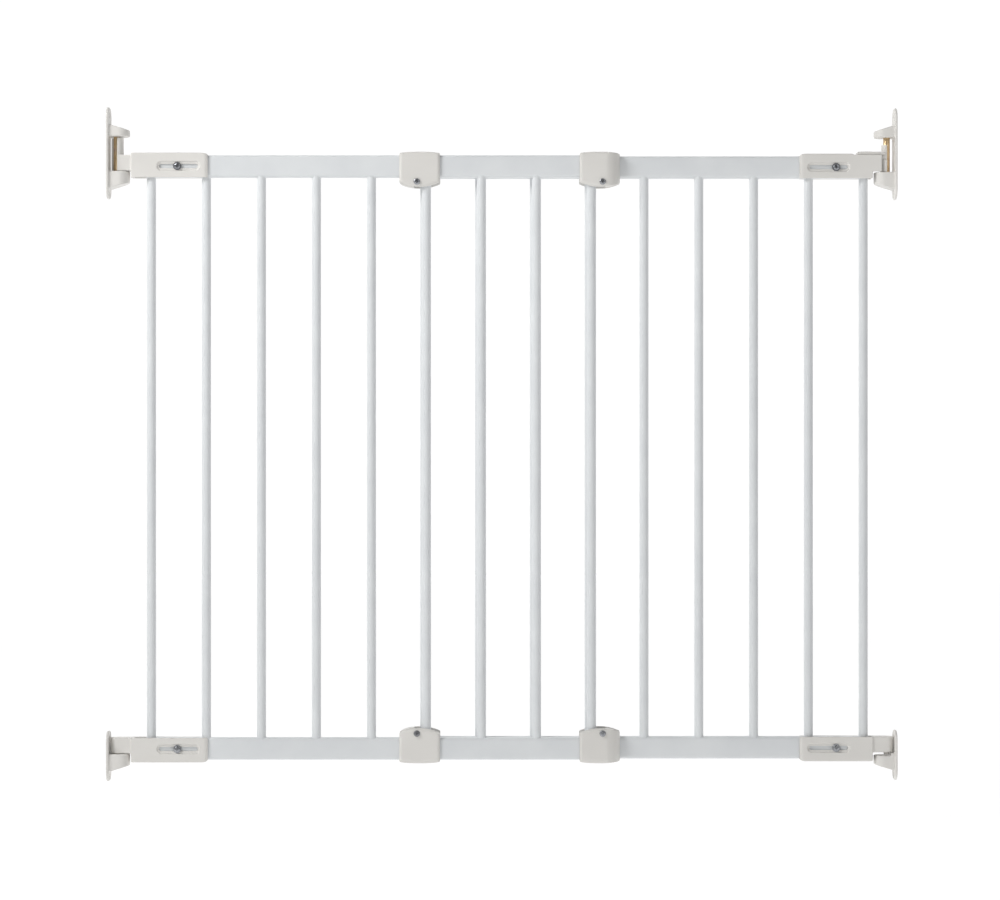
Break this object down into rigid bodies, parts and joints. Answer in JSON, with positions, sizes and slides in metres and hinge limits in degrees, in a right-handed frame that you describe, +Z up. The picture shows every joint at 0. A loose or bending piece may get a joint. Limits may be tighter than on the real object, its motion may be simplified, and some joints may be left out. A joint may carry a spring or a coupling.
{
  "type": "extending safety gate",
  "caption": "Wall-mounted extending child safety gate: two sliding barred steel panels with plastic clamp collars, hung on pins between wall brackets, with a sliding latch.",
  "frame": {"origin": "centre of the lower hinge bracket's back face, on the wall", "axes": "+X along the closed gate from the hinge wall to the latch wall, +Z up, the front of the gate faces -Y"},
  "size_m": [0.948, 0.045, 0.808],
  "materials": {
    "white_steel": "satin white powder coat",
    "white_plastic": "fine-textured warm white moulded plastic",
    "passivated_steel": "yellow-passivated turned steel",
    "zinc_steel": "bright zinc-plated steel"
  },
  "bodies": {
    "wall_brackets": {"hinge_top_bracket": "white_plastic", "hinge_bottom_bracket": "white_plastic", "latch_top_bracket": "white_plastic", "latch_bottom_bracket": "white_plastic", "hinge_top_pin": "passivated_steel", "hinge_bottom_pin": "passivated_steel", "latch_top_pin": "passivated_steel"},
    "hinge_ends": {"hinge_top_end": "white_plastic", "hinge_bottom_end": "white_plastic"},
    "front_panel": {"front_top_rail": "white_steel", "front_bottom_rail": "white_steel", "front_bar_1": "white_steel", "front_bar_2": "white_steel", "front_bar_3": "white_steel", "front_bar_4": "white_steel", "front_bar_5": "white_steel", "front_bar_6": "white_steel", "front_bar_7": "white_steel", "front_bar_8": "white_steel", "front_bar_9": "white_steel", "right_top_collar": "white_plastic", "right_bottom_collar": "white_plastic", "right_collar_screws": "zinc_steel", "right_collar_nuts": "zinc_steel", "hinge_end_screws": "zinc_steel", "hinge_end_washers": "zinc_steel", "hinge_end_nuts": "zinc_steel"},
    "back_panel": {"back_top_rail": "white_steel", "back_bottom_rail": "white_steel", "back_bar_1": "white_steel", "back_bar_2": "white_steel", "back_bar_3": "white_steel", "back_bar_4": "white_steel", "back_bar_5": "white_steel", "back_bar_6": "white_steel", "back_bar_7": "white_steel", "back_bar_8": "white_steel", "back_bar_9": "white_steel", "left_top_collar": "white_plastic", "left_bottom_collar": "white_plastic", "left_collar_screws": "zinc_steel", "left_collar_nuts": "zinc_steel", "latch_end_screws": "zinc_steel", "latch_end_washers": "zinc_steel", "latch_end_nuts": "zinc_steel"},
    "latch_ends": {"latch_top_end": "white_plastic", "latch_bottom_end": "white_plastic"},
    "latch_slider": {"latch_slider": "white_plastic"}
  },
  "joints": [
    {"name": "gate_swing", "type": "hinge", "parent": "wall_brackets", "child": "hinge_ends", "pos_m": [0.0115, 0, 0], "axis": [0, 0, 1], "range_deg": [-90, 85]},
    {"name": "hinge_end_adjust", "type": "slide", "parent": "hinge_ends", "child": "front_panel", "axis": [1, 0, 0], "range_m": [-0.011, 0]},
    {"name": "width_adjust", "type": "slide", "parent": "front_panel", "child": "back_panel", "axis": [1, 0, 0], "range_m": [-0.042, 0]},
    {"name": "latch_end_adjust", "type": "slide", "parent": "back_panel", "child": "latch_ends", "axis": [1, 0, 0], "range_m": [-0.0035, 0]},
    {"name": "latch_release", "type": "slide", "parent": "latch_ends", "child": "latch_slider", "axis": [1, 0, 0], "range_m": [-0.0052, 0], "stiffness_N_per_m": 300, "springref_m": 0.003}
  ]
}
